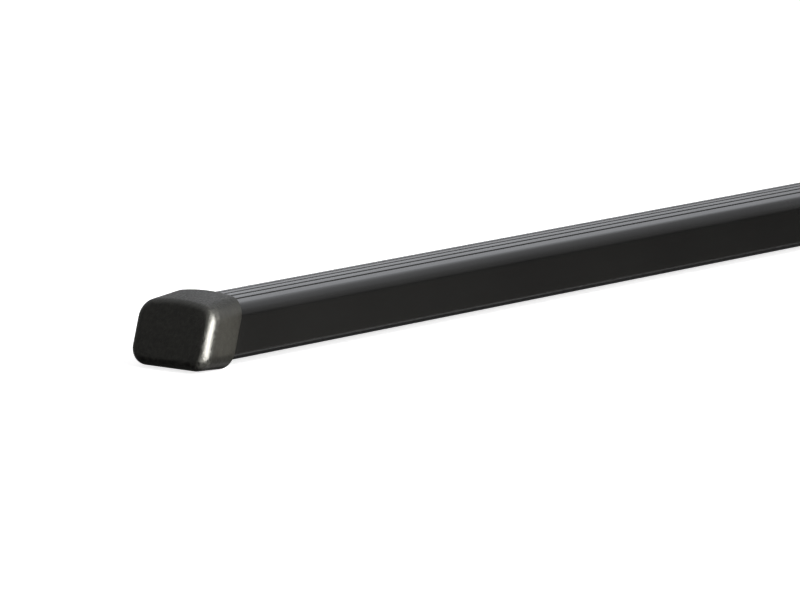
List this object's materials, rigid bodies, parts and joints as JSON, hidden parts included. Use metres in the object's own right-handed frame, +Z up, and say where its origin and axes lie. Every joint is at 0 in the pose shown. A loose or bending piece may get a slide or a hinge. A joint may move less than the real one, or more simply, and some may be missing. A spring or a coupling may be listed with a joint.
{
  "type": "roof rack crossbar",
  "caption": "Rectangular steel roof bar in a black plastic cover with lengthwise grooves on top, closed by a slanted soft push-on cap at each end.",
  "frame": {"origin": "middle of the bar's length and width, at the height of the surface that its end caps lie on", "axes": "+X along the bar, +Y across it towards the back, +Z up through the grooved top"},
  "size_m": [1.18, 0.0376, 0.0278],
  "materials": {
    "tube_steel": "zinc coated, plain",
    "cover_plastic": "satin black, extruded",
    "cap_rubber": "fine moulded grain, matt black"
  },
  "bodies": {
    "root": {"steel_tube": "tube_steel", "bar_cover": "cover_plastic", "end_cap_left": "cap_rubber", "end_cap_right": "cap_rubber"}
  },
  "joints": []
}
